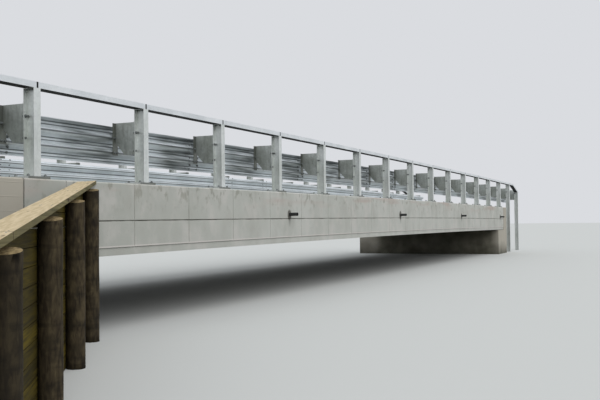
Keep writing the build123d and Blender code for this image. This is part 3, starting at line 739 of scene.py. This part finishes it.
# Blockouts: two flanges with eased edges and a web whose lower corner is cut away on the road side
print("blockouts")
blockout = {
    "face": 0.075, "depth": 0.356, "width": 0.104, "foot": 0.405, "height": 0.43,
    "flange": 0.008, "web": 0.006, "notchDepth": 0.15, "notchHeight": 0.179, "edge": 0.0015,
}
blockouts = bmesh.new()
webInner = blockout["face"] + blockout["flange"]
webOuter = blockout["face"] + blockout["depth"] - blockout["flange"]
webPlace = Matrix.Translation((0, (webInner + webOuter) / 2, 0))
webSize = Matrix.Diagonal((blockout["web"], webOuter - webInner, blockout["height"], 1))
flangeSize = Matrix.Diagonal((blockout["width"], blockout["flange"], blockout["height"], 1))
notchStart = (0, webOuter - blockout["notchDepth"], -blockout["height"] / 2)
notchSlope = Vector((0, blockout["notchHeight"], -blockout["notchDepth"])).normalized()
for x in postStations:
    stand = station(x, bridge["postLine"], blockout["foot"] + blockout["height"] / 2)
    for across in (webInner - blockout["flange"] / 2, webOuter + blockout["flange"] / 2):
        plate = bmesh.ops.create_cube(
            blockouts, size=1, matrix=stand @ Matrix.Translation((0, across, 0)) @ flangeSize)
        easeLongEdges(blockouts, plate, blockout["height"], blockout["edge"])
    web = bmesh.new()
    bmesh.ops.create_cube(web, size=1, matrix=webPlace @ webSize)
    sliceOff(web, notchStart, notchSlope)
    bmesh.ops.transform(web, matrix=stand, verts=web.verts)
    mergeInto(blockouts, web)
finishBothSides("notched_blockouts", blockouts, blockoutZinc, "blockouts")

# Bolts that hold the blockouts on the posts: nuts inside the post, heads inside the blockout
print("blockout bolts")
postBolt = {
    "postInner": 0.067, "side": 0.03, "heights": (0.45, 0.69),
    "washer": 0.019, "washerHeight": 0.003, "nut": 0.016, "nutHeight": 0.015,
    "stud": 0.01, "studHeight": 0.028,
}
lowBolt = dict(postBolt, washer=0.015, nut=0.012, nutHeight=0.008, stud=0)  # lower row, heads only
blockoutBolts = bmesh.new()
for x in postStations:
    for height, nutLook in zip(postBolt["heights"], (lowBolt, postBolt)):
        row = station(x, bridge["postLine"], height)
        for side in (-postBolt["side"], postBolt["side"]):
            nutSeat = row @ Matrix.Translation((side, postBolt["postInner"], 0))
            headSeat = row @ Matrix.Translation((side, webInner, 0))
            addBolt(blockoutBolts, nutSeat @ awayFromRoad, nutLook)
            addBolt(blockoutBolts, headSeat @ towardsRoad, dict(postBolt, stud=0))
finishBothSides("blockout_bolts", blockoutBolts, boltZinc)

# Bolts of the corrugated rails: button heads on the road side, nuts behind
print("rail bolts")
railBolt = {
    "projection": 0.08, "slopeRun": 0.067, "side": 0.028, "lap": 0.0062,
    "spliceSide": 0.108, "headRadius": 0.017, "headHeight": 0.008,
    "washer": 0.017, "washerHeight": 0.003, "nut": 0.0165, "nutHeight": 0.015,
    "stud": 0.008, "studHeight": 0.012,
}
railSpan = 2 * bridge["postPitch"]
splices = [-lastPost + railSpan * number for number in range(int(lastPost // railSpan) + 1)]
splices = sorted(splices + [-x for x in splices])[1:-1]
railFace = blockout["face"] + blockout["depth"]
railBolts = bmesh.new()
slopeRows = []  # height from the rail's centre, depth from the blockout face, up or down at the back
for rise, depth, back in ((0.227, 0.0585, -1), (0.1455, 0.04, 1), (0.0485, 0.04, -1)):
    slopeRows += [(rise, depth, back), (-rise, depth, -back)]
for x in postStations:
    road = railFace + bridge["railSheet"] + (railBolt["lap"] if x in splices else 0)
    for rise in (-bridge["wavePitch"] / 2, bridge["wavePitch"] / 2):
        row = station(x, bridge["postLine"], bridge["railCentre"] + rise)
        for side in (-railBolt["side"], railBolt["side"]):
            headSeat = row @ Matrix.Translation((side, road, 0))
            nutSeat = row @ Matrix.Translation((side, webOuter, 0))
            addHead(railBolts, headSeat @ towardsRoad, railBolt)
            addBolt(railBolts, nutSeat @ awayFromRoad, railBolt)
for splice in splices:
    for rise, depth, back in slopeRows:
        middle = station(splice, bridge["postLine"] + railFace + depth, bridge["railCentre"] + rise)
        lean = math.atan2(railBolt["slopeRun"], back * railBolt["projection"])
        for side in (-railBolt["spliceSide"], railBolt["spliceSide"]):
            nutSeat = middle @ Matrix.Translation((side, 0, 0)) @ Matrix.Rotation(lean, 4, "X")
            addBolt(railBolts, nutSeat, railBolt)
            addHead(railBolts, nutSeat @ upsideDown @ Matrix.Translation((0, 0, railBolt["lap"])), railBolt)
finishBothSides("rail_bolts", railBolts, boltZinc)

# Inner sleeves in the gaps of the top rail, and the nuts under the posts' cap plates
print("top rail sleeves")
sleeve = {
    "length": 0.3, "width": 0.138, "height": 0.055, "seat": 0.993, "railHeight": 0.067, "edge": 0.006,
    "capThickness": 0.008, "boltAlong": 0.032, "boltAcross": 0.04,
    "washer": 0.014, "washerHeight": 0.0025, "nut": 0.012, "nutHeight": 0.01, "stud": 0.006,
    "studHeight": 0.008,
}
sleeves = bmesh.new()
capNuts = bmesh.new()
sleeveSize = Matrix.Diagonal((sleeve["length"], sleeve["width"], sleeve["height"], 1))
for x in postStations[1:-1]:
    middle = station(x, bridge["postLine"], sleeve["seat"] + sleeve["railHeight"] / 2)
    bar = bmesh.ops.create_cube(sleeves, size=1, matrix=middle @ sleeveSize)
    easeLongEdges(sleeves, bar, sleeve["length"], sleeve["edge"])
    under = station(x, bridge["postLine"], sleeve["seat"] - sleeve["capThickness"])
    for along in (-sleeve["boltAlong"], sleeve["boltAlong"]):
        for across in (-sleeve["boltAcross"], sleeve["boltAcross"]):
            addBolt(capNuts, under @ Matrix.Translation((along, across, 0)) @ upsideDown, sleeve)
finishBothSides("top_rail_sleeves", sleeves, sleeveSteel)
finishBothSides("cap_nuts", capNuts, boltZinc)

# Frame of the front wing wall: X out along the wall, -Y towards the boards
print("wing poles")
wingFrame = Matrix.Translation((*wing["start"], 0)) @ Matrix((
    (-math.cos(splay), math.sin(splay), 0, 0),
    (-math.sin(splay), -math.cos(splay), 0, 0),
    (0, 0, 1, 0),
    (0, 0, 0, 1),
))
rakeUp = wingFrame.to_3x3() @ Vector((wing["rake"], 0, 1))

# Round poles: thinner here and there where the peeler bit, swollen at the branch rings, rim worn round
poleLook = {
    "segments": 28, "rings": 22, "topDrop": 0.055, "topSlope": 0.2, "spare": 0.04, "worn": 0.005,
    "rim": 0.006, "lumps": (1.4, 1.4, 2.2), "whorls": 4.5, "seed": 3.7, "lumpShift": 9,
    "whorlShift": 5, "evenShare": 0.55, "lumpShare": 0.6, "whorlShare": 0.9,
}
wingPoles = bmesh.new()
for number, run in enumerate(poleRuns):
    topHeight = wing["capFoot"] - wing["rake"] * run - poleLook["topDrop"]
    tall = topHeight + poleLook["spare"]
    pole = bmesh.new()
    bmesh.ops.create_cone(
        pole, cap_ends=True, segments=poleLook["segments"], radius1=wing["poleRadius"],
        radius2=wing["poleRadius"], depth=tall, matrix=Matrix.Translation((0, 0, tall / 2)))
    uprights = [edge for edge in pole.edges if abs(edge.verts[0].co.z - edge.verts[1].co.z) > 0.1]
    bmesh.ops.subdivide_edges(pole, edges=uprights, cuts=poleLook["rings"])
    for vert in pole.verts:
        around = Vector((vert.co.x, vert.co.y, 0)).normalized()
        skin = Vector((around.x, around.y, vert.co.z)) * Vector(poleLook["lumps"])
        lumps = poleLook["lumpShare"] * noise.noise(skin + Vector((0, number * poleLook["lumpShift"], 0)))
        ringSeed = number * poleLook["whorlShift"] + poleLook["seed"]
        whorls = noise.noise(Vector((ringSeed, 0, vert.co.z * poleLook["whorls"])))
        whorls = poleLook["whorlShare"] * max(0, whorls)
        worn = poleLook["worn"] * max(0, poleLook["evenShare"] + lumps - whorls)
        vert.co.x -= around.x * worn
        vert.co.y -= around.y * worn
    sliceOff(pole, (0, 0, topHeight), Vector((poleLook["topSlope"], 0, 1)).normalized())
    for face in pole.faces:
        face.smooth = abs(face.normal.z) < 0.5
    rimEdges = [edge for edge in pole.edges
                if len(edge.link_faces) == 2 and sum(face.smooth for face in edge.link_faces) == 1
                and min(vert.co.z for vert in edge.verts) > 0.1]
    bmesh.ops.bevel(pole, geom=rimEdges, offset=poleLook["rim"], affect="EDGES", segments=2, profile=0.5,
                    material=-1)
    bmesh.ops.transform(pole, matrix=wingFrame @ Matrix.Translation((run, -wing["poleSetback"], 0)),
                        verts=pole.verts)
    bmesh.ops.recalc_face_normals(pole, faces=pole.faces)
    mergeInto(wingPoles, pole)
finishBothSides("left_wing_round_poles", wingPoles, poleTimber, "left_wing_poles")

# Sawn boards of the wing walls, laid flat one over another behind the poles
print("wing boards")
wingBoards = bmesh.new()
setback = wing["poleSetback"] + wing["poleRadius"] + wing["boardThickness"] / 2
boardHeight = wing["boardPitch"] - wing["boardGap"]
for number, (runStart, runEnd) in enumerate(zip(poleRuns[:-1], poleRuns[1:])):
    left = 0 if number == 0 else runStart + wing["boardGap"] / 2
    right = wingEnd if number == wing["bays"] - 1 else runEnd - wing["boardGap"] / 2
    rows = math.ceil((wing["capFoot"] - wing["rake"] * left) / wing["boardPitch"])
    for row in range(rows):
        middle = ((left + right) / 2, -setback, row * wing["boardPitch"] + boardHeight / 2)
        size = Matrix.Diagonal((right - left, wing["boardThickness"], boardHeight, 1))
        board = bmesh.new()
        bmesh.ops.create_cube(board, size=1, matrix=wingFrame @ Matrix.Translation(middle) @ size)
        sliceOff(board, wingFrame @ Vector((0, 0, wing["capFoot"])), rakeUp.normalized())
        sliceOff(board, (0, -bridge["deckHalfWidth"] - wing["deckClearance"], 0), (0, 1, 0))
        if board.faces:
            bmesh.ops.bevel(board, geom=list(board.edges), offset=wing["boardEdge"], affect="EDGES",
                            segments=1, profile=0.5, material=-1)
        mergeInto(wingBoards, board)
finishBothSides("left_wing_sawn_boards", wingBoards, boardTimber, "left_wing_boards")

# Screws that hold the cap planks down on each pole
print("cap screws")
screw = {"headRadius": 0.006, "headHeight": 0.002, "offset": 0.035, "rows": (-0.03, -0.11)}
screwLean = rakeUp.to_track_quat("Z", "Y").to_matrix().to_4x4()
capScrews = bmesh.new()
for run in poleRuns:
    for along in (-screw["offset"], screw["offset"]):
        for across in screw["rows"]:
            top = wing["capFoot"] + wing["capThickness"] - wing["rake"] * (run + along)
            seat = wingFrame @ Vector((run + along, across, top))
            addHead(capScrews, Matrix.Translation(seat) @ screwLean, screw)
finishBothSides("wing_cap_screws", capScrews, boltZinc)

scene.view_settings.view_transform = "Standard"
